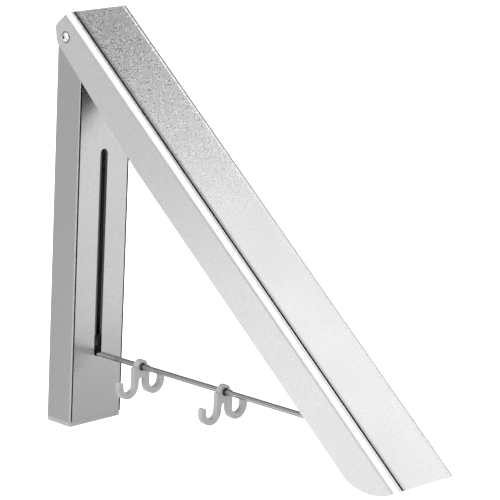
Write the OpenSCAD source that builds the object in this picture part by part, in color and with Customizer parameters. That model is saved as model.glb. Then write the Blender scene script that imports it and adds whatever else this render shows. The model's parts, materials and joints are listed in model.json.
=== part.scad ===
// Wall mounted fold down drying rack.
// A channel is fixed to the wall. A long U shaped arm is hinged at its top, and a horizontal
// rod props the arm open: one end turns in the arm, the other on a slider inside the channel.
// Lifting the arm frees the slider, which runs up the slot while the arm folds down flat.
// X runs along the wall, +Y into the wall and +Z up. The origin is on the wall face, halfway
// between the two wall screws. The arm is drawn open.

/* [Wall channel] */
// Width of the channel along the wall
channel_w = 40; // [38:0.5:40]
// Depth of the channel, out from the wall
channel_d = 19; // [19:0.5:20]
// Height of the hinge axis above the middle of the wall screws
hinge_rise = 120; // [118:1:124]
// Drop from the hinge axis to the lower end of the channel
channel_drop = 222.4; // [222:0.2:240]
// Thickness of the channel's sides
channel_side_t = 1.5; // [1.2:0.1:1.8]
// Thickness of the channel's front
channel_front_t = 1.8; // [1.5:0.1:1.8]
// Width of the opening along the channel's back
back_opening = 30; // [29:0.5:31]
// Thickness of the light end cap
cap_t = 2.8; // [1.5:0.1:3]

/* [Slot] */
// Width of the slot in the channel's front
slot_w = 5.8; // [5:0.1:8]
// Drop from the hinge axis to the top of the slot
slot_top_drop = 64.4; // [60:0.2:65]

/* [Wall screws] */
// Distance between the two wall screws
screw_spacing = 176; // [174:1:178]
// Diameter of a wall screw's hole
screw_hole_d = 4.5; // [3.5:0.1:5]
// Height of each wall bracket
bracket_h = 24; // [18:1:24]

/* [Arm] */
// Angle of the open arm from the wall
open_angle = 50.7; // [50:0.1:51]
// Width of the arm
arm_w = 47; // [47:0.5:50]
// Thickness of the arm's web and flanges
arm_t = 1.5; // [1.2:0.1:1.8]
// Distance from the hinge axis to the outside of the web
web_out = 11.7; // [11.7:0.1:12.5]
// Distance from the hinge axis to the far end of the web
arm_reach = 326; // [318:1:340]
// Outside radius of the arm's two long edges
arm_edge_r = 4; // [3:0.1:4.5]

/* [Rod and hooks] */
// Diameter of the support rod
rod_d = 3.2; // [3:0.1:4]
// Distance along the arm from the hinge axis to the rod's pivot
anchor_s = 290; // [288:0.1:292]
// Distance of the rod's pivot from the arm's centre line, towards the web
anchor_n = 3; // [2:0.1:3]
// Distance of the slider's pivot from the wall
slider_pivot_y = 13.4; // [13:0.1:13.6]
// Drop from the hinge axis to the slider's pivot with the arm open
slider_drop = 184.5; // [183:0.1:186]
// Distance along the rod from the slider's pivot to the inner hook
hook_1_at = 41; // [30:0.1:60]
// Distance along the rod from the slider's pivot to the outer hook
hook_2_at = 106.6; // [80:0.1:130]
// Thickness of a hook along the rod
hook_t = 3.2; // [2.5:0.1:4]

/* [Hidden] */

$fn = 64;
cut = 0.5;          // how far a cutter runs past a face
fit = 0.04;         // radial clearance of a pin that turns in its hole
slack = 0.3;        // gap between faces that slide past each other
press = 0.02;       // gap of a piece that is pushed into its seat
tiny = 0.01;        // overlap of two cutters that meet in one hole

// Channel
channel_corner_r = 0.8;
groove_w = 0.9;     // fine groove beside each front corner
groove_deep = 0.8;
groove_in = 1.1;    // from the side face to the middle of the groove
lip_t = 1.5;
port_r = 2.5;       // round screw port in each front corner of the extrusion
port_bore_r = 1.3;
channel_in_w = channel_w - 2 * channel_side_t;
channel_front_in = channel_d - channel_front_t;
port_sunk = 0.2;    // how far each port sinks into the walls beside it
port_x = channel_in_w / 2 - port_r + port_sunk;
port_y = channel_front_in - port_r + port_sunk;
hinge_y = -channel_d / 2;
hinge_z = hinge_rise;
ear_r = channel_d / 2;
channel_bottom = hinge_z - channel_drop;
slot_top = hinge_z - slot_top_drop;

// Brackets and their screws
bracket_wing_t = 4.2;
bracket_base_t = lip_t + slack;
bracket_wing_w = channel_in_w - 4 * slack;
bracket_base_w = back_opening - 0.8;
bracket_t = bracket_base_t + bracket_wing_t;
screw_head_d = 9;
screw_head_h = 2.6;
grub_r = 1.5;
grub_l = 3;
grub_hex_d = 1.7;
grub_hex_deep = 1.4;
grub_y = -(bracket_base_t + bracket_wing_t / 2);
grub_hole_deep = grub_l + 0.1;

// End cap: a plug inside the channel, and two countersunk screws up into the ports
cap_corner_r = 2;
cap_plug_h = 5;
cap_plug_gap = 0.2;
cap_hole_r = port_bore_r + 0.1;
cap_screw_r = port_bore_r - fit;
cap_screw_l = 14;
cap_head_r = 2.5;
cap_head_h = 1.2;
cap_sink_r = 2.6;
cap_sink_h = 1.3;
cross_l = 3;        // cross recess in a screw's head
cross_w = 0.5;
cross_deep = 0.6;

// Hinge
pin_r = 2.5;
pin_head_r = 2.8;
pin_head_h = 1.8;
pin_dome_r = 3.6;
pin_dimple_r = 0.75;
pin_dimple_deep = 0.6;
pin_recess_r = 3.3;     // shallow recess in the arm round the pin's head
pin_recess_deep = 0.7;
bush_r = 3.6;
bush_flange_r = 6;
collar_r = 4.6;
collar_t = 1.5;
collar_lip = 0.8;       // step round the collar's outer face
arm_in_w = arm_w - 2 * arm_t;
bush_flange_t = (arm_in_w - channel_w) / 2 - slack;

// Arm, seen from the side: z up along it, y towards the wall, from the hinge axis
web_in = web_out - arm_t;
edge_near = 7.6;        // flange edge beside the hinge
edge_far = 12.7;        // flange edge where the taper ends
taper_s = 87;
top_end = 8.4;          // web above the hinge axis
ear_top = 10;
ear_corner_r = 3.4;     // upper round of the ear
ear_side_r = 6;         // round of the ear beside the wall
ear_side_s = 0.6;
ear_join_a = 38;        // angle at which the two rounds meet
tip_r = 36;             // big round at the flange's far end
tip_n = 22.3;           // its centre, out past the web
rail_w = 4.1;           // raised rail along each side of the web
panel_sunk = 0.5;       // the panel between the rails lies this far below them
panel_flare = 3.2;      // width of the hollow curve from the panel up to the left rail
arm_groove_w = 1.3;     // deep groove between that curve and the left rail
arm_groove_deep = 1.0;

// Rod, anchor and slider
rod_r = rod_d / 2;
anchor_eye_r = 4.2;
anchor_eye_t = 4;
anchor_pin_r = 2;
anchor_pin_l = 24;
block_up = 12;          // block above and below the rod's pivot, along the arm
block_down = 13;
block_under = 2;        // block on the wall side of the hinge line
block_gap = 0.1;        // block to the arm's inside
block_bevel = 3;
block_slot_w = anchor_eye_t + 0.8;
anchor_grub_r = 2;
anchor_grub_l = 8;
anchor_grub_drop = 8.6;
anchor_hex_d = 2.3;
anchor_hex_deep = 2;
eye_gap = 0.5;          // an eye's rim to the floor of its fork
slider_eye_r = 3.2;
cross_pin_r = 1.5;
slider_w = 26;
slider_h = 13.2;
slider_front = channel_front_in - slack;
slider_back = 7.5;
slider_slot_w = rod_d + 1;
slider_bevel = 2;
cross_pin_l = slider_w - 4;
anchor_y = hinge_y - anchor_s * sin(open_angle) - anchor_n * cos(open_angle);
anchor_z = hinge_z - anchor_s * cos(open_angle) + anchor_n * sin(open_angle);
slider_z = hinge_z - slider_drop;
rod_run = -slider_pivot_y - anchor_y;
rod_l = sqrt(pow(rod_run, 2) + pow(anchor_z - slider_z, 2));
rod_rise = atan2(anchor_z - slider_z, rod_run);
slot_bottom = slider_z - rod_r - 0.2;

// Hooks: x across, z down from the rod's axis
bush_bore_r = rod_r + fit;
hook_bush_r = rod_r + 0.7;
hook_bush_l = hook_t + 1.2;
hook_ring_r = 4.2;
shoulder = 3;           // straight shoulders below the rod's axis
stem_w = 3.5;
stem_x = 4.2;
stem_top = 1.5;
hook_neck = 8.4;        // depth at which the two stems part
hook_arc_z = 9.7;
hook_arc_r = 7.7;
hook_arc_x = stem_x - stem_w / 2 + hook_arc_r;
hook_tip_z = 8.4;

// Points along an arc, from angle a0 to a1
function arc(cx, cy, r, a0, a1, steps = 10) =
    [for (i = [0:steps]) let (a = a0 + (a1 - a0) * i / steps) [cx + r * cos(a), cy + r * sin(a)]];

// Turns a shape drawn in (y, z) into a slab of a given width across X
module across(width) {
    translate([-width / 2, 0, 0])
        rotate([90, 0, 90])
            linear_extrude(width)
                children();
}

// A cylinder along X, centred at x
module bar_x(r, l, x = 0) {
    translate([x, 0, 0])
        rotate([0, 90, 0])
            cylinder(r = r, h = l, center = true);
}

// Places what is drawn hanging straight down from the hinge axis at the arm's open angle
module on_arm() {
    translate([0, hinge_y, hinge_z])
        rotate([-open_angle, 0, 0])
            children();
}

module at_anchor() {
    on_arm()
        translate([0, -anchor_n, -anchor_s])
            children();
}

module at_slider() {
    translate([0, -slider_pivot_y, slider_z])
        children();
}

// Places what is drawn level, at a distance out along the rod from the slider's pivot
module on_rod(distance = 0) {
    at_slider()
        rotate([-rod_rise, 0, 0])
            translate([0, -distance, 0])
                children();
}

// ---- wall channel ----

module channel_outline() {
    r = channel_corner_r;
    translate([-channel_w / 2, -channel_d + r])
        square([channel_w, channel_d - r]);
    translate([-channel_w / 2 + r, -channel_d])
        square([channel_w - 2 * r, 2 * r]);
    for (side = [-1, 1])
        translate([side * (channel_w / 2 - r), -channel_d + r])
            circle(r);
}

module channel_section() {
    difference() {
        union() {
            difference() {
                channel_outline();
                translate([-channel_in_w / 2, -channel_front_in])
                    square([channel_in_w, channel_front_in - lip_t]);
                translate([-back_opening / 2, -lip_t - cut])
                    square([back_opening, lip_t + 2 * cut]);
            }
            for (side = [-1, 1])
                translate([side * port_x, -port_y])
                    circle(port_r);
        }
        for (side = [-1, 1]) {
            translate([side * port_x, -port_y])
                circle(port_bore_r);
            translate([side * (channel_w / 2 - groove_in) - groove_w / 2, -channel_d - cut])
                square([groove_w, groove_deep + cut]);
        }
    }
}

// Side view of the channel: straight up to the hinge axis, then round about it
module channel_side() {
    translate([-channel_d, channel_bottom])
        square([channel_d, hinge_z - channel_bottom]);
    translate([hinge_y, hinge_z])
        circle(ear_r);
}

module slot_cutter() {
    translate([0, -channel_front_in + 0.1, 0])
        rotate([90, 0, 0])
            linear_extrude(channel_front_t + 0.1 + cut) {
                translate([-slot_w / 2, slot_bottom + slot_w / 2])
                    square([slot_w, slot_top - slot_bottom - slot_w]);
                for (z = [slot_bottom + slot_w / 2, slot_top - slot_w / 2])
                    translate([0, z])
                        circle(slot_w / 2);
            }
}

module wall_channel() {
    color("silver")
        difference() {
            intersection() {
                translate([0, 0, channel_bottom])
                    linear_extrude(channel_drop + ear_r)
                        channel_section();
                across(channel_w)
                    channel_side();
            }
            slot_cutter();
            translate([0, hinge_y, hinge_z])
                bar_x(bush_r, channel_w + 2 * cut);
            for (z = [-1, 1] * screw_spacing / 2)
                translate([0, grub_y, z])
                    bar_x(grub_r, channel_side_t + 2 * cut, (channel_w - channel_side_t) / 2);
        }
}

module cap_outline() {
    r = cap_corner_r;
    translate([-channel_w / 2, -channel_d + r])
        square([channel_w, channel_d - r]);
    translate([-channel_w / 2 + r, -channel_d])
        square([channel_w - 2 * r, 2 * r]);
    for (side = [-1, 1])
        translate([side * (channel_w / 2 - r), -channel_d + r])
            circle(r);
}

module channel_end_cap() {
    plug_w = 2 * (port_x - port_r) - 1;
    plug_front = channel_front_in - cap_plug_gap;
    plug_back = bracket_t + 2 * cap_plug_gap;
    color("lightgray")
        difference() {
            union() {
                translate([0, 0, channel_bottom - cap_t])
                    linear_extrude(cap_t)
                        cap_outline();
                translate([-plug_w / 2, -plug_front, channel_bottom - cap_t / 2])
                    cube([plug_w, plug_front - plug_back, cap_plug_h + cap_t / 2]);
            }
            for (side = [-1, 1])
                translate([side * port_x, -port_y, channel_bottom - cap_t]) {
                    translate([0, 0, -cut])
                        cylinder(r = cap_hole_r, h = cap_t + 2 * cut);
                    translate([0, 0, -tiny])
                        cylinder(r1 = cap_sink_r, r2 = port_bore_r, h = cap_sink_h);
                }
        }
}

module end_cap_screws() {
    color("gray")
        for (side = [-1, 1])
            translate([side * port_x, -port_y, channel_bottom - cap_t])
                difference() {
                    union() {
                        cylinder(r1 = cap_head_r, r2 = cap_screw_r, h = cap_head_h);
                        cylinder(r = cap_screw_r, h = cap_screw_l);
                    }
                    for (turn = [0, 90])
                        rotate([0, 0, turn])
                            translate([-cross_l / 2, -cross_w / 2, -cut])
                                cube([cross_l, cross_w, cut + cross_deep]);
                }
}

// T shaped block screwed to the wall: its wings sit behind the channel's back lips
module wall_bracket(z) {
    color("darkgray")
        translate([0, 0, z])
            difference() {
                union() {
                    translate([-bracket_base_w / 2, -bracket_base_t, -bracket_h / 2])
                        cube([bracket_base_w, bracket_base_t, bracket_h]);
                    translate([-bracket_wing_w / 2, -bracket_t, -bracket_h / 2])
                        cube([bracket_wing_w, bracket_wing_t, bracket_h]);
                }
                rotate([90, 0, 0]) {
                    translate([0, 0, -cut])
                        cylinder(d = screw_hole_d, h = bracket_t + 2 * cut);
                    translate([0, 0, bracket_t - screw_head_h])
                        cylinder(d1 = screw_hole_d, d2 = screw_head_d, h = screw_head_h + tiny);
                }
                translate([0, grub_y, 0])
                    bar_x(grub_r + 0.1, 2 * grub_hole_deep, channel_w / 2);
            }
}

module upper_wall_bracket() {
    wall_bracket(screw_spacing / 2);
}

module lower_wall_bracket() {
    wall_bracket(-screw_spacing / 2);
}

module bracket_grub_screws() {
    color("dimgray")
        for (z = [-1, 1] * screw_spacing / 2)
            translate([0, grub_y, z])
                difference() {
                    bar_x(grub_r - fit, grub_l, (channel_w - grub_l) / 2);
                    translate([channel_w / 2 - grub_hex_deep, 0, 0])
                        rotate([0, 90, 0])
                            cylinder(d = grub_hex_d, h = grub_hex_deep + cut, $fn = 6);
                }
}

// ---- hinge ----

// Flanged nylon bush, pushed into the channel's ear from outside
module hinge_bush(side) {
    flange_x = side * (channel_w / 2 + bush_flange_t / 2);
    barrel_x = side * (channel_w / 2 - channel_side_t / 2);
    color("dimgray")
        translate([0, hinge_y, hinge_z])
            difference() {
                union() {
                    bar_x(bush_flange_r, bush_flange_t, flange_x);
                    bar_x(bush_r - press, channel_side_t + press, barrel_x);
                }
                bar_x(pin_r + fit, arm_w / 4, barrel_x);
            }
}

module hinge_bush_left() {
    hinge_bush(-1);
}

module hinge_bush_right() {
    hinge_bush(1);
}

module hinge_pin() {
    head_x = -arm_w / 2;
    shaft_l = arm_w + pin_head_h;
    color("gainsboro")
        translate([0, hinge_y, hinge_z])
            difference() {
                union() {
                    bar_x(pin_r, shaft_l, pin_head_h / 2);
                    intersection() {
                        bar_x(pin_head_r, 2 * pin_head_h, head_x);
                        translate([head_x - pin_head_h + pin_dome_r, 0, 0])
                            sphere(pin_dome_r);
                        bar_x(2 * pin_head_r, pin_head_h, head_x - pin_head_h / 2);
                    }
                }
                bar_x(pin_dimple_r, 2 * pin_dimple_deep, head_x - pin_head_h);
            }
}

module hinge_pin_collar() {
    color("gainsboro")
        translate([arm_w / 2, hinge_y, hinge_z])
            rotate([0, 90, 0])
                difference() {
                    union() {
                        cylinder(r = collar_r, h = collar_t * 0.6);
                        cylinder(r = collar_r - collar_lip, h = collar_t);
                    }
                    translate([0, 0, -cut])
                        cylinder(r = pin_r + fit / 2, h = collar_t + 2 * cut);
                }
}

// ---- arm ----

module arm_outline(w, top, r, reach) {
    translate([-w / 2, -top + r])
        square([w, top - r + reach]);
    translate([-w / 2 + r, -top])
        square([w - 2 * r, 2 * r]);
    for (side = [-1, 1])
        translate([side * (w / 2 - r), -top + r])
            circle(r);
}

// What is cut away above the sunken panel and in the groove beside the left rail
module panel_cutter() {
    rail_x = arm_w / 2 - rail_w;
    flare_x = -rail_x + arm_groove_w + panel_flare;
    flare_r = (pow(panel_flare, 2) + pow(panel_sunk, 2)) / (2 * panel_sunk);
    translate([flare_x, -web_out - cut])
        square([rail_x - flare_x, panel_sunk + cut]);
    intersection() {
        translate([flare_x, -web_out + panel_sunk - flare_r])
            circle(flare_r, $fn = 128);
        translate([-rail_x, -web_out - cut])
            square([flare_x + rail_x + cut, panel_sunk + cut]);
    }
    translate([-rail_x, -web_out - cut])
        square([arm_groove_w, arm_groove_deep + cut]);
}

module arm_section() {
    difference() {
        arm_outline(arm_w, web_out, arm_edge_r, edge_far + cut);
        arm_outline(arm_in_w, web_in, arm_edge_r - arm_t, edge_far + 2 * cut);
        panel_cutter();
    }
}

// Side view of the arm, hanging straight down from the hinge axis
module arm_side() {
    tip_s = arm_reach - sqrt(pow(tip_r, 2) - pow(tip_n - web_out, 2));
    tip_start = -acos((edge_far + tip_n) / tip_r);
    tip_end = -90 + asin((tip_n - web_out) / tip_r);
    polygon(concat(
        [[-web_out, top_end]],
        arc(0, ear_top - ear_corner_r, ear_corner_r, 100, ear_join_a, 8),
        arc(edge_near - ear_side_r, ear_side_s, ear_side_r, ear_join_a, -3, 8),
        [[edge_far, -taper_s]],
        arc(-tip_n, -tip_s, tip_r, tip_start, tip_end, 20)
    ));
}

module arm_cover() {
    color("silver")
        on_arm()
            difference() {
                intersection() {
                    translate([0, 0, -arm_reach])
                        linear_extrude(arm_reach + ear_top + 1)
                            arm_section();
                    across(arm_w + 1)
                        arm_side();
                }
                bar_x(pin_r + fit / 2, arm_w + 2);
                bar_x(pin_recess_r, 2 * pin_recess_deep, -arm_w / 2);
            }
}

// Nylon block wedged between the flanges, forked for the eye at the rod's outer end
module anchor_block() {
    w = arm_in_w - 2 * block_gap;
    front = web_in - anchor_n - block_gap;
    back = anchor_n + block_under;
    color("dimgray")
        at_anchor()
            difference() {
                translate([-w / 2, -front, -block_down])
                    cube([w, front + back, block_up + block_down]);
                for (side = [-1, 1])
                    translate([side * w / 2, -front, 0])
                        rotate([0, 0, 45])
                            cube([block_bevel, block_bevel, 3 * block_down], center = true);
                translate([-block_slot_w / 2, -web_in, -anchor_eye_r - eye_gap])
                    cube([block_slot_w, 3 * web_in, block_up + anchor_eye_r + 2 * eye_gap]);
                bar_x(anchor_pin_r + fit / 2, anchor_pin_l + 0.4);
                translate([0, 0, -anchor_grub_drop])
                    rotate([90, 0, 0])
                        cylinder(r = anchor_grub_r + fit / 2, h = 3 * web_in, center = true);
            }
}

module anchor_pin() {
    color("gainsboro")
        at_anchor()
            bar_x(anchor_pin_r, anchor_pin_l);
}

module anchor_grub_screw() {
    color("gray")
        at_anchor()
            translate([0, -(web_in - anchor_n) + anchor_grub_l, -anchor_grub_drop])
                rotate([90, 0, 0])
                    difference() {
                        cylinder(r = anchor_grub_r, h = anchor_grub_l - block_gap);
                        translate([0, 0, -cut])
                            cylinder(d = anchor_hex_d, h = anchor_hex_deep + cut, $fn = 6);
                    }
}

// ---- rod and slider ----

module support_rod() {
    color("gainsboro")
        difference() {
            union() {
                on_rod()
                    rotate([90, 0, 0])
                        cylinder(r = rod_r, h = rod_l);
                on_rod()
                    bar_x(slider_eye_r, rod_d);
                on_rod(rod_l)
                    bar_x(anchor_eye_r, anchor_eye_t);
            }
            on_rod()
                bar_x(cross_pin_r + fit, 2 * rod_d);
            on_rod(rod_l)
                bar_x(anchor_pin_r + fit, 2 * anchor_eye_t);
        }
}

module rod_cross_pin() {
    color("gainsboro")
        at_slider()
            bar_x(cross_pin_r, cross_pin_l);
}

// Runs up and down behind the channel's front, forked for the rod's inner eye
module slider_block() {
    front = -(slider_front - slider_pivot_y);
    back = slider_pivot_y - slider_back;
    gap = slider_eye_r + eye_gap;
    color("dimgray")
        at_slider()
            difference() {
                translate([-slider_w / 2, front, -slider_h / 2])
                    cube([slider_w, back - front, slider_h]);
                translate([-slider_slot_w / 2, front - cut, -slider_h])
                    cube([slider_slot_w, gap - front + cut, slider_h + gap]);
                bar_x(cross_pin_r + fit / 2, cross_pin_l + 0.4);
                for (side = [-1, 1], end = [-1, 1])
                    translate([side * slider_w / 2, 0, end * slider_h / 2])
                        rotate([0, 45, 0])
                            cube([slider_bevel, 3 * slider_h, slider_bevel], center = true);
            }
}

// ---- hooks ----

// Thin sleeve on the rod that a hook swings about and slides with
module hook_bush(distance) {
    color("dimgray")
        on_rod(distance)
            rotate([90, 0, 0])
                difference() {
                    cylinder(r = hook_bush_r, h = hook_bush_l, center = true);
                    cylinder(r = bush_bore_r, h = 2 * hook_bush_l, center = true);
                }
}

module hook_bush_1() {
    hook_bush(hook_1_at);
}

module hook_bush_2() {
    hook_bush(hook_2_at);
}

// One J: a stem, half a ring below it and a short round tip
module hook_j(side) {
    inner_r = hook_arc_r - stem_w;
    tip_x = hook_arc_x + hook_arc_r - stem_w / 2;
    translate([side > 0 ? stem_x - stem_w / 2 : -stem_x - stem_w / 2, -hook_arc_z])
        square([stem_w, hook_arc_z]);
    translate([side * hook_arc_x, -hook_arc_z])
        difference() {
            circle(hook_arc_r);
            circle(inner_r);
            translate([-2 * hook_arc_r, 0])
                square([4 * hook_arc_r, 2 * hook_arc_r]);
        }
    translate([side * tip_x - stem_w / 2, -hook_arc_z])
        square([stem_w, hook_arc_z - hook_tip_z]);
    translate([side * tip_x, -hook_tip_z])
        circle(stem_w / 2);
}

module hook(distance) {
    gap_r = stem_x - stem_w / 2;
    color("lightgray")
        on_rod(distance)
            rotate([90, 0, 0])
                translate([0, 0, -hook_t / 2])
                    linear_extrude(hook_t)
                        difference() {
                            union() {
                                circle(hook_ring_r);
                                translate([-stem_x - stem_w / 2, -hook_neck])
                                    square([2 * stem_x + stem_w, hook_neck - stem_top]);
                                translate([-hook_ring_r, -shoulder])
                                    square([2 * hook_ring_r, shoulder]);
                                hook_j(1);
                                hook_j(-1);
                            }
                            circle(hook_bush_r + fit);
                            translate([0, -hook_neck])
                                circle(gap_r);
                        }
}

module hook_1() {
    hook(hook_1_at);
}

module hook_2() {
    hook(hook_2_at);
}

wall_channel();
channel_end_cap();
end_cap_screws();
upper_wall_bracket();
lower_wall_bracket();
bracket_grub_screws();
hinge_bush_left();
hinge_bush_right();
hinge_pin();
hinge_pin_collar();
arm_cover();
anchor_block();
anchor_pin();
anchor_grub_screw();
support_rod();
rod_cross_pin();
slider_block();
hook_bush_1();
hook_1();
hook_bush_2();
hook_2();
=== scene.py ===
"""The looks of a wall mounted fold down drying rack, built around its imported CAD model."""

import json
import math

import bpy
from mathutils import Matrix, Vector


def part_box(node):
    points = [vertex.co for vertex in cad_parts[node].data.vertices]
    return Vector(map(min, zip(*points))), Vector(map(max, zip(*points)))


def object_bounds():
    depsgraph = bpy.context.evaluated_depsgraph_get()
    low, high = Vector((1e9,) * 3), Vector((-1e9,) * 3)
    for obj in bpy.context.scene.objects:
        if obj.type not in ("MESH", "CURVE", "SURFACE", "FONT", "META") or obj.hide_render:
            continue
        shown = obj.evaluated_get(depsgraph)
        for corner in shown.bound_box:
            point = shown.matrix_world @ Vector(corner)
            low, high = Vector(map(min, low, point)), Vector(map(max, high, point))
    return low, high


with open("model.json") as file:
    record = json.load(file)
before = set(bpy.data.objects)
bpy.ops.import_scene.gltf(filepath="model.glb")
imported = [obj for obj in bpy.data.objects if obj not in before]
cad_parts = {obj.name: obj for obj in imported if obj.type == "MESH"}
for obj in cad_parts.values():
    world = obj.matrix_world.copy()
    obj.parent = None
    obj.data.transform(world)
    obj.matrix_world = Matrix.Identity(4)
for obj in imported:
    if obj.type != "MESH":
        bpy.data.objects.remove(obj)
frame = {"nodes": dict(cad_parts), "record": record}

MM = 0.001
cad_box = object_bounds()
nodes = frame["nodes"]
scene = bpy.context.scene
scene.view_settings.view_transform = "Standard"

# Sizes of the CAD pieces that the masks of bare metal and painted shade follow.
ARM_FLANGE = 1.5 * MM       # thickness of the arm's flanges
INSIDE_CORNER = 1.8 * MM    # how much of the arm's rounded inside corner counts as its flange
CHANNEL_SIDE = 1.5 * MM     # thickness of the wall channel's sides
CHANNEL_FRONT = 1.8 * MM    # thickness of the wall channel's front
SLOT_HALF = 2.9 * MM        # half the width of the slot in the wall channel's front
MASK_GAP = 0.1 * MM         # how far a mask's edge is from the face beside it
OPEN_FACE_GAP = 0.3 * MM    # how far it is from a face that is seen from outside
MASK_SOFT = 0.05 * MM       # the distance over which a mask fades out

# The four greys below are painted shade: they darken grooves, recesses and the insides of parts where
# shade falls.
PAINTED_GROOVE_SHADE = 0.008           # grey of the metal deep in a groove
CHANNEL_INSIDE_SHADE = 0.1        # grey of the metal inside the wall channel
ARM_INSIDE_SHADE = 0.2            # grey of the metal inside the arm
STEEL_HOLLOW_SHADE = 0.01         # grey of the steel deep in a pin's recess


# ---- materials ----

def set_stops(ramp, stops):
    """Sets a colour ramp's stops, which are pairs of a position and a grey."""
    elements = ramp.color_ramp.elements
    elements[0].position, elements[1].position = stops[0][0], stops[-1][0]
    for position, grey in stops[1:-1]:
        elements.new(position)
    for element, (position, grey) in zip(elements, stops):
        element.color = (grey, grey, grey, 1)


class Look:
    """A node material: its shader, and short ways to add what feeds it.

    A mask is a value that is 1 in one part of the surface and 0 in the rest.
    """

    def __init__(self, name, colour, metallic, roughness):
        self.material = bpy.data.materials.new(name)
        self.material.use_nodes = True
        self.tree = self.material.node_tree
        self.shader = self.tree.nodes["Principled BSDF"]
        self.shader.inputs["Metallic"].default_value = metallic
        self.shader.inputs["Base Color"].default_value = (*colour, 1)
        self.shader.inputs["Roughness"].default_value = roughness
        self.coordinates = self.tree.nodes.new("ShaderNodeTexCoord")
        self.place = self.coordinates.outputs["Object"]

    def stretched(self, scale):
        """The object's own coordinates, multiplied by scale along each axis."""
        mapping = self.tree.nodes.new("ShaderNodeMapping")
        mapping.inputs["Scale"].default_value = scale
        self.tree.links.new(self.place, mapping.inputs["Vector"])
        return mapping.outputs["Vector"]

    def noise(self, scale, detail, place=None):
        """A noise from 0 to 1. scale is in cells per metre."""
        noise = self.tree.nodes.new("ShaderNodeTexNoise")
        noise.inputs["Scale"].default_value = scale
        noise.inputs["Detail"].default_value = detail
        self.tree.links.new(place or self.place, noise.inputs["Vector"])
        return noise.outputs["Fac"]

    def ramp(self, value, stops):
        """Turns a value into the grey of the stops."""
        ramp = self.tree.nodes.new("ShaderNodeValToRGB")
        set_stops(ramp, stops)
        self.tree.links.new(value, ramp.inputs["Fac"])
        return ramp.outputs["Color"]

    def axis(self, index, kind="Object"):
        """One of the object's own coordinates, in metres, or one axis of its Normal."""
        split = self.tree.nodes.new("ShaderNodeSeparateXYZ")
        self.tree.links.new(self.coordinates.outputs[kind], split.inputs["Vector"])
        return split.outputs[index]

    def maths(self, operation, first, second=0.0):
        """One sum. first and second are numbers or sockets."""
        node = self.tree.nodes.new("ShaderNodeMath")
        node.operation = operation
        for slot, value in zip(node.inputs, (first, second)):
            if isinstance(value, (int, float)):
                slot.default_value = value
            else:
                self.tree.links.new(value, slot)
        return node.outputs[0]

    def within(self, value, low, high, soft=MASK_SOFT):
        """A mask of where value is between low and high. It falls to 0 over soft on both sides."""
        up = self.maths("DIVIDE", self.maths("SUBTRACT", value, low - soft), soft)
        down = self.maths("DIVIDE", self.maths("SUBTRACT", high + soft, value), soft)
        both = self.maths("MINIMUM", up, down)
        return self.maths("MINIMUM", self.maths("MAXIMUM", both, 0.0), 1.0)

    def all_of(self, first, *others):
        """A mask of what is in every one of these masks."""
        product = first
        for mask in others:
            product = self.maths("MULTIPLY", product, mask)
        return product

    def either(self, first, second):
        """A mask of what is in one of these two masks, or in both."""
        return self.maths("MAXIMUM", first, second)

    def outside(self, mask):
        """A mask of what isn't in this mask."""
        return self.maths("SUBTRACT", 1.0, mask)

    def in_open(self, reach, darkest, brightest):
        """A mask of open faces, down to 0 in the piece's own grooves and hollows within reach, where the
        callers paint shade.

        darkest and brightest are the open shares of the sky that count as 0 and 1.
        """
        hidden = self.tree.nodes.new("ShaderNodeAmbientOcclusion")
        hidden.samples = 12
        hidden.only_local = True
        hidden.inputs["Distance"].default_value = reach
        return self.ramp(hidden.outputs["AO"], [(darkest, 0.0), (brightest, 1.0)])

    def mix(self, share, first, second):
        """first where share is 0, and second where it is 1. Colours or greys."""
        mix = self.tree.nodes.new("ShaderNodeMix")
        mix.data_type = "RGBA"
        for name, value in (("Factor", share), ("A", first), ("B", second)):
            slot = [i for i in mix.inputs if i.name == name and i.enabled][0]
            if isinstance(value, (int, float)):
                slot.default_value = (value, value, value, 1)
            else:
                self.tree.links.new(value, slot)
        return [o for o in mix.outputs if o.enabled][0]

    def feed(self, value, socket):
        """Links a value to one of the shader's sockets."""
        self.tree.links.new(value, self.shader.inputs[socket])

    def bump(self, height, strength, distance):
        """Raises the surface by height."""
        bump = self.tree.nodes.new("ShaderNodeBump")
        bump.inputs["Strength"].default_value = strength
        bump.inputs["Distance"].default_value = distance
        self.tree.links.new(height, bump.inputs["Height"])
        self.feed(bump.outputs["Normal"], "Normal")


def blasted_aluminium(name, level, roughness, grain, darkest):
    """Sand blasted, clear anodised aluminium: a fine grain over satin metal.

    Returns the look, its colour, and a mask of where it is open and not deep in a groove, outside which
    the callers paint shade.
    """
    look = Look(name, (level,) * 3, metallic=1.0, roughness=roughness)
    speck = look.noise(grain, detail=4.0)
    cloud = look.noise(22, detail=3.0)
    coarse = look.ramp(speck, [(0.3, level * 0.72), (0.5, level), (0.72, level * 1.16)])
    fine = look.ramp(speck, [(0.3, level * 0.86), (0.7, level * 1.1)])
    tone = look.mix(look.within(cloud, 0.5, 1.0, soft=0.3), coarse, fine)
    look.feed(look.ramp(cloud, [(0.3, roughness * 0.92), (0.7, roughness * 1.1)]), "Roughness")
    look.bump(speck, strength=0.4, distance=0.05 * MM)
    in_open = look.in_open(reach=2.2 * MM, darkest=darkest, brightest=darkest + 0.2)
    return look, tone, in_open


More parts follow.
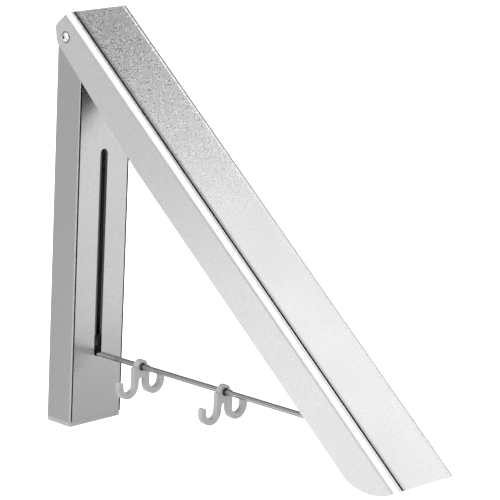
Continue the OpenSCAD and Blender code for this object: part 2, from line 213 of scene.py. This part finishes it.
def arm_aluminium():
    """The arm's metal: pitted towards the hinge, with painted shade that blackens the deep groove on its
    -x half and darkens the inside of the U.
    """
    look, tone, in_open = blasted_aluminium(
        "arm_aluminium", level=0.61, roughness=0.32, grain=1900, darkest=0.62
    )
    tone = look.mix(arm_pitted(look), tone, arm_pits(look))
    low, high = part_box("arm_cover")
    # Painted shade: only the groove on the arm's -x half is blackened, and the one on the +x half keeps
    # the metal's grey.
    by_groove = look.within(look.axis(0), low.x, 0.0, soft=1 * MM)
    tone = look.mix(look.all_of(by_groove, look.outside(in_open)), tone, PAINTED_GROOVE_SHADE)
    # Painted shade: the faces inside the U are darkened.
    look.feed(look.mix(arm_inside(look), tone, ARM_INSIDE_SHADE), "Base Color")
    return look.material


def arm_pits(look):
    """The greys of small dark pits and the bright grains between them."""
    stops = [(0.33, 0.0), (0.42, 0.5), (0.5, 0.64), (0.58, 0.78), (0.67, 1.0)]
    return look.ramp(look.noise(1400, detail=1.0), stops)


def arm_pitted(look):
    """A mask of patches on the web, which fade out down the arm."""
    low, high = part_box("arm_cover")
    dense = 25 * MM                     # down to this far below the arm's top, the pits are dense
    fade = 0.4 * (high.z - low.z)       # and this far below that, they are gone
    near_hinge = look.within(look.axis(2), high.z - dense, high.z, soft=fade)
    on_web = look.within(look.axis(0, "Normal"), -0.15, 0.4, soft=0.1)
    patches = look.within(look.noise(260, detail=3.0), 0.5, 1.0, soft=0.1)
    return look.all_of(near_hinge, on_web, patches)


def arm_inside(look):
    """A mask of the faces inside the arm's U, where shade is painted. facing_in is lowest on the
    flanges' inner faces.
    """
    low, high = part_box("arm_cover")
    facing_in = look.maths("MULTIPLY", look.axis(0), look.axis(0, "Normal"))
    flange_end = low.x + ARM_FLANGE + INSIDE_CORNER
    inside_flange = look.within(facing_in, low.x, flange_end, soft=2 * MASK_SOFT)
    under_web = look.within(look.axis(2, "Normal"), -1.0, -0.2, soft=0.05)
    between = look.within(look.axis(0), low.x + ARM_FLANGE, high.x - ARM_FLANGE)
    return look.all_of(between, look.either(inside_flange, under_web))


def channel_aluminium():
    """The wall channel's metal, with painted shade that blackens its grooves and darkens the slot's
    walls and the inside of the extrusion.
    """
    look, tone, in_open = blasted_aluminium(
        "channel_aluminium", level=0.41, roughness=0.26, grain=2600, darkest=0.68
    )
    # Painted shade: the channel's own grooves and hollows go near black.
    tone = look.mix(in_open, PAINTED_GROOVE_SHADE, tone)
    low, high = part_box("wall_channel")
    side = look.maths("ABSOLUTE", look.axis(0))
    inside = look.all_of(
        look.within(side, 0.0, high.x - CHANNEL_SIDE - MASK_GAP),
        look.within(look.axis(1), low.y + CHANNEL_FRONT + MASK_GAP, high.y - OPEN_FACE_GAP),
    )
    slot_wall = look.all_of(
        look.within(side, 0.0, SLOT_HALF + MASK_GAP),
        look.within(look.axis(1), low.y + OPEN_FACE_GAP, high.y, soft=2 * MASK_SOFT),
    )
    # Painted shade: the slot's walls and the inside of the extrusion are darkened.
    look.feed(look.mix(look.either(inside, slot_wall), tone, CHANNEL_INSIDE_SHADE), "Base Color")
    return look.material


def chrome():
    """Bright plated wire with faint drawing marks along it."""
    look = Look("bright_chrome", (0.37, 0.37, 0.38), metallic=1.0, roughness=0.08)
    marks = look.noise(900, detail=2.0, place=look.stretched((6, 0.06, 6)))
    look.feed(look.ramp(marks, [(0.35, 0.05), (0.65, 0.14)]), "Roughness")
    look.bump(marks, strength=0.1, distance=0.01 * MM)
    return look.material


def turned_steel():
    """Polished steel of pins and collars, with fine turning marks and painted shade in its hollows."""
    look = Look("turned_steel", (0.76, 0.76, 0.77), metallic=1.0, roughness=0.2)
    marks = look.noise(1500, detail=2.0, place=look.stretched((4, 1, 1)))
    tone = look.ramp(marks, [(0.35, 0.62), (0.65, 0.8)])
    in_open = look.in_open(reach=1.5 * MM, darkest=0.6, brightest=0.85)
    # Painted shade: the steel goes near black in its recesses.
    look.feed(look.mix(in_open, STEEL_HOLLOW_SHADE, tone), "Base Color")
    look.feed(look.ramp(marks, [(0.35, 0.16), (0.65, 0.3)]), "Roughness")
    look.bump(marks, strength=0.15, distance=0.02 * MM)
    return look.material


def zinc(name, level, roughness):
    """Zinc plate or die cast zinc: a cloudy crystalline grey."""
    look = Look(name, (level,) * 3, metallic=1.0, roughness=roughness)
    cloud = look.noise(350, detail=4.0)
    look.feed(look.ramp(cloud, [(0.3, level * 0.75), (0.7, level * 1.15)]), "Base Color")
    look.feed(look.ramp(cloud, [(0.3, roughness * 0.8), (0.7, roughness * 1.2)]), "Roughness")
    look.bump(look.noise(2500, detail=2.0), strength=0.3, distance=0.05 * MM)
    return look.material


def moulded_plastic(name, level, roughness, gloss):
    """Injection moulded plastic: an even colour with faint flow clouds and a fine eggshell skin."""
    look = Look(name, (level,) * 3, metallic=0.0, roughness=roughness)
    cloud = look.noise(120, detail=3.0)
    look.feed(look.ramp(cloud, [(0.3, level * 0.94), (0.7, level * 1.05)]), "Base Color")
    skin = look.noise(2200, detail=2.0)
    look.feed(look.ramp(skin, [(0.3, roughness * 0.9), (0.7, roughness * 1.15)]), "Roughness")
    look.shader.inputs["Coat Weight"].default_value = gloss
    look.shader.inputs["Coat Roughness"].default_value = 0.25
    look.bump(skin, strength=0.2, distance=0.03 * MM)
    return look.material


def make_looks():
    """One material for each material slot of the record."""
    return {
        "arm_aluminium": arm_aluminium(),
        "anodised_aluminium": channel_aluminium(),
        "grey_plastic": moulded_plastic("cap_plastic", level=0.34, roughness=0.45, gloss=0.1),
        "hook_plastic": moulded_plastic("hook_plastic", level=0.36, roughness=0.3, gloss=0.5),
        "black_nylon": moulded_plastic("black_nylon", level=0.02, roughness=0.5, gloss=0.0),
        "chromed_rod": chrome(),
        "polished_steel": turned_steel(),
        "zinc_steel": zinc("zinc_plate", level=0.55, roughness=0.3),
        "zinc_casting": zinc("zinc_casting", level=0.7, roughness=0.35),
    }


# ---- CAD pieces that keep their shape ----

# How wide each node's sharp edges are broken, in mm. The others get SMALL_EDGE.
EDGES = {
    "wall_channel": 0.25,
    "arm_cover": 0.25,
    "channel_end_cap": 0.5,
    "hook_1": 0.75,
    "hook_2": 0.75,
    "upper_wall_bracket": 0.4,
    "lower_wall_bracket": 0.4,
    "slider_block": 0.4,
    "anchor_block": 0.5,
}
SMALL_EDGE = 0.15
SHARP = math.radians(35)        # an edge that turns by more than this is broken
WELD_REACH = 0.002 * MM         # points closer than this are one


def finish_cad_nodes(looks):
    """Gives each CAD node its material and broken edges."""
    slots = {s["node"]: s["material_slot"] for s in frame["record"]["subparts"]}
    for name, piece in nodes.items():
        piece.data.materials.clear()
        piece.data.materials.append(looks[slots[name]])
        break_edges(piece, EDGES.get(name, SMALL_EDGE) * MM)


def break_edges(piece, width):
    """Rounds the piece's sharp edges and smooths its shading."""
    weld = piece.modifiers.new("weld", "WELD")
    weld.merge_threshold = WELD_REACH
    bevel = piece.modifiers.new("bevel", "BEVEL")
    bevel.width = width
    bevel.segments = 3
    bevel.limit_method = "ANGLE"
    bevel.angle_limit = SHARP
    smooth = piece.modifiers.new("smooth", "WEIGHTED_NORMAL")
    smooth.keep_sharp = True


# ---- stage and lights ----

FLOOR_SIZE = 200        # m, so that its far edge stays near the horizon
FLOOR_DROP = 0.9        # m from the rack's lowest point to the floor
FLOOR_GREY = 0.74
floor_z = cad_box[0].z - FLOOR_DROP


def make_floor():
    """A plain pale floor well below the rack, which hangs on a wall."""
    bpy.ops.mesh.primitive_plane_add(size=FLOOR_SIZE, location=(0, 0, floor_z))
    floor = bpy.context.object
    floor.name = "floor"
    look = Look("floor_paint", (FLOOR_GREY,) * 3, metallic=0.0, roughness=0.9)
    floor.data.materials.append(look.material)


def area_light(name, place, aim, size, power):
    """A soft rectangular lamp at place, turned towards aim.

    size is its width and height in metres, and power is in watts.
    """
    light = bpy.data.lights.new(name, "AREA")
    light.shape = "RECTANGLE"
    light.size, light.size_y = size
    light.energy = power
    lamp = bpy.data.objects.new(name, light)
    scene.collection.objects.link(lamp)
    lamp.location = place
    lamp.rotation_euler = (Vector(aim) - Vector(place)).to_track_quat("-Z", "Y").to_euler()
    lamp.visible_camera = False
    return lamp


# The dome's grey goes by direction: position 0 is straight away from DOME_BRIGHT, and 1 is towards it.
DOME_BRIGHT = Vector((-0.55, -0.2, 0.81))
DOME_POWER = 3.4
DOME_LEVELS = [
    (0.0, 0.025),
    (0.35, 0.05),
    (0.51, 0.06),
    (0.61, 0.165),
    (0.75, 0.2),
    (0.85, 0.34),
    (0.93, 0.52),
    (1.0, 1.0),
]


def make_dome():
    """A soft white dome, brightest high on the left and dim low on the right."""
    world = bpy.data.worlds.new("studio")
    scene.world = world
    world.use_nodes = True
    tree = world.node_tree
    ray = tree.nodes.new("ShaderNodeTexCoord").outputs["Generated"]
    dot = tree.nodes.new("ShaderNodeVectorMath")
    dot.operation = "DOT_PRODUCT"
    dot.inputs[1].default_value = DOME_BRIGHT.normalized()
    tree.links.new(ray, dot.inputs[0])
    share = tree.nodes.new("ShaderNodeMath")
    share.operation = "MULTIPLY_ADD"
    share.inputs[1].default_value = 0.5
    share.inputs[2].default_value = 0.5
    tree.links.new(dot.outputs["Value"], share.inputs[0])
    ramp = tree.nodes.new("ShaderNodeValToRGB")
    set_stops(ramp, DOME_LEVELS)
    tree.links.new(share.outputs[0], ramp.inputs["Fac"])
    background = tree.nodes["Background"]
    tree.links.new(ramp.outputs["Color"], background.inputs["Color"])
    background.inputs["Strength"].default_value = DOME_POWER


def make_backdrop():
    """Whitens the part of the floor that lies behind the rack, from low above it.

    It is turned nearly square to the camera's line of sight.
    """
    spot = (3.3, 3.0, floor_z)
    above = (3.3, 3.0, floor_z + 0.45)
    backdrop = area_light("backdrop", above, aim=spot, size=(5.5, 4.5), power=130)
    backdrop.rotation_euler.z = math.radians(45)


def make_panels():
    """Small soft panels, each named after the face or edge that it brightens."""
    area_light("web_panel", (0.42, -0.31, 0.36), aim=(0, -0.2, -0.02), size=(0.4, 0.4), power=0.56)
    area_light("flange_panel", (-0.376, 0.06, -0.2), aim=(0, -0.24, -0.05), size=(0.3, 0.3), power=0.15)
    area_light("front_panel", (0.32, -0.32, -0.025), aim=(0, -0.02, 0.02), size=(0.25, 0.3), power=0.175)
    area_light("edge_panel", (1.05, 0.37, 0.05), aim=(0, -0.13, 0), size=(0.6, 0.5), power=1.3)
    area_light("corner_panel", (-0.6, -0.63, -0.14), aim=(0, -0.02, 0), size=(0.12, 0.5), power=0.8)


# ---- camera ----

CAMERA_PLACE = (-1.15855, -1.22925, 0.41752)    # m
CAMERA_AZIMUTH = math.radians(-46.644)          # turn from looking straight at the wall
CAMERA_TILT = math.radians(13.9935)             # how far it looks down
CAMERA_ROLL = math.radians(2.615)
CAMERA_LENS = 218.56                            # mm
SENSOR_WIDTH = 36                               # mm


def make_camera():
    """Looks to the right and down, with a small roll, through a long lens."""
    forward = Vector((
        -math.sin(CAMERA_AZIMUTH) * math.cos(CAMERA_TILT),
        math.cos(CAMERA_AZIMUTH) * math.cos(CAMERA_TILT),
        -math.sin(CAMERA_TILT),
    ))
    level = forward.cross(Vector((0, 0, 1))).normalized()
    right = Matrix.Rotation(-CAMERA_ROLL, 3, forward) @ level
    up = right.cross(forward)
    turn = Matrix((right, up, -forward)).transposed()
    data = bpy.data.cameras.new("camera")
    data.sensor_width = SENSOR_WIDTH
    data.lens = CAMERA_LENS
    data.clip_end = 2 * FLOOR_SIZE
    camera = bpy.data.objects.new("camera", data)
    scene.collection.objects.link(camera)
    camera.matrix_world = Matrix.Translation(CAMERA_PLACE) @ turn.to_4x4()
    scene.camera = camera


make_camera()
finish_cad_nodes(make_looks())
make_floor()
make_dome()
make_backdrop()
make_panels()
